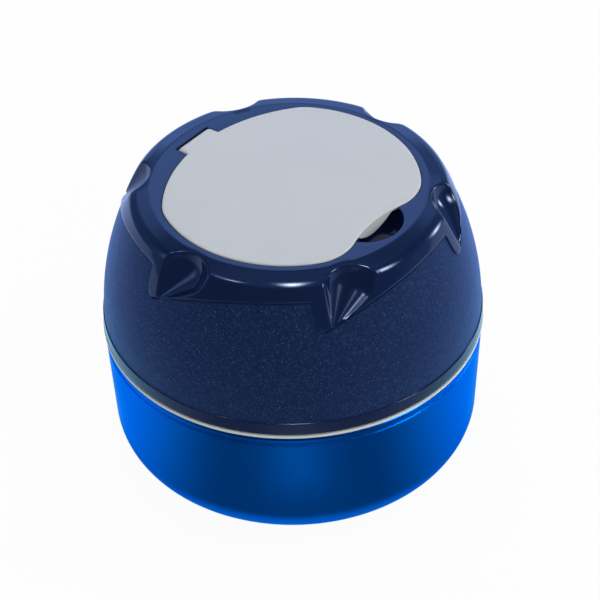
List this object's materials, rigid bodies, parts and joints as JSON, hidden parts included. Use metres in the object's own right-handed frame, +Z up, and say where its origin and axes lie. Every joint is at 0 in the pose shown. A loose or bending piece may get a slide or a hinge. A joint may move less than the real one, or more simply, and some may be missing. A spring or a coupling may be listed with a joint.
{
  "type": "insulated lunch pot",
  "caption": "Round insulated lunch pot: painted steel bowl, domed screw lid with a scalloped grip ring, and a hinged flip-up cover over a compartment in the lid.",
  "frame": {"origin": "centre of the footprint, on the table plane under the foot ring", "axes": "+Z up the pot's axis; the cover's hinge is towards +Y and its finger scoop towards -Y"},
  "size_m": [0.1338, 0.1338, 0.1081],
  "materials": {
    "painted_steel": "gloss",
    "bare_steel": "satin",
    "cream_plastic": "satin",
    "speckled_navy": "satin",
    "gloss_navy": "gloss",
    "grey_plastic": "satin",
    "rigid_foam": "matte",
    "silicone": "matte"
  },
  "bodies": {
    "bowl": {"outer_bowl": "painted_steel", "inner_bowl": "bare_steel", "bowl_foam": "rigid_foam", "neck_collar": "cream_plastic", "collar_seal": "silicone", "base_plug": "speckled_navy", "foot_ring": "silicone"},
    "stopper": {"stopper_pan": "grey_plastic", "stopper_foam": "rigid_foam", "stopper_cap": "grey_plastic", "stopper_gasket": "silicone"},
    "lid": {"lid_band": "gloss_navy", "lid_dome": "speckled_navy", "lid_liner": "grey_plastic", "stopper_keeper": "speckled_navy", "lid_foam": "rigid_foam", "compartment_cup": "speckled_navy", "lid_screws": "bare_steel", "grip_ring": "gloss_navy", "hinge_pin": "bare_steel"},
    "cover": {"flip_cover": "grey_plastic", "cover_seal": "silicone"}
  },
  "joints": [
    {"name": "lid_lift", "type": "slide", "parent": "bowl", "child": "stopper", "axis": [0, 0, 1], "range_m": [0, 0.0121]},
    {"name": "lid_turn", "type": "hinge", "parent": "stopper", "child": "lid", "pos_m": [0, 0, 0.0525], "axis": [0, 0, 1], "range_deg": [0, 360]},
    {"name": "cover_flip", "type": "hinge", "parent": "lid", "child": "cover", "pos_m": [0, 0.0405, 0.1054], "axis": [-1, 0, 0], "range_deg": [0, 95]}
  ],
  "couplings": [
    {"joint": "lid_lift", "follows": "lid_turn", "m_per_rad": 0.0019099}
  ]
}
